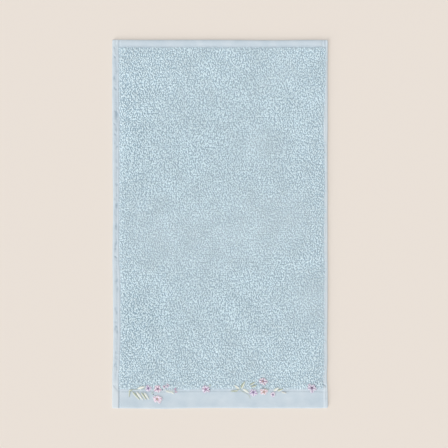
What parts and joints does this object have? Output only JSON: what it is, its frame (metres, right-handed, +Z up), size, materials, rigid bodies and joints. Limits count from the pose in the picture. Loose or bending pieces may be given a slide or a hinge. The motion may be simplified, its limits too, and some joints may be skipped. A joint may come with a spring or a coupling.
{
  "type": "hand towel",
  "caption": "Small rectangular terry towel lying flat, with turned side hems, a narrow end hem and a plain woven border edged with embroidered flower sprigs, for drying hands.",
  "frame": {"origin": "middle of the underside, on the surface that the towel lies on", "axes": "+X across the towel, +Y along it from the embroidered border to the narrow hem, +Z up out of the upper face"},
  "size_m": [0.3, 0.513, 0.0042],
  "materials": {
    "terry_cotton": "matte",
    "sewing_thread": "matte",
    "leaf_thread": "satin",
    "blossom_thread": "satin"
  },
  "bodies": {
    "root": {"towel": "terry_cotton"}
  },
  "joints": []
}
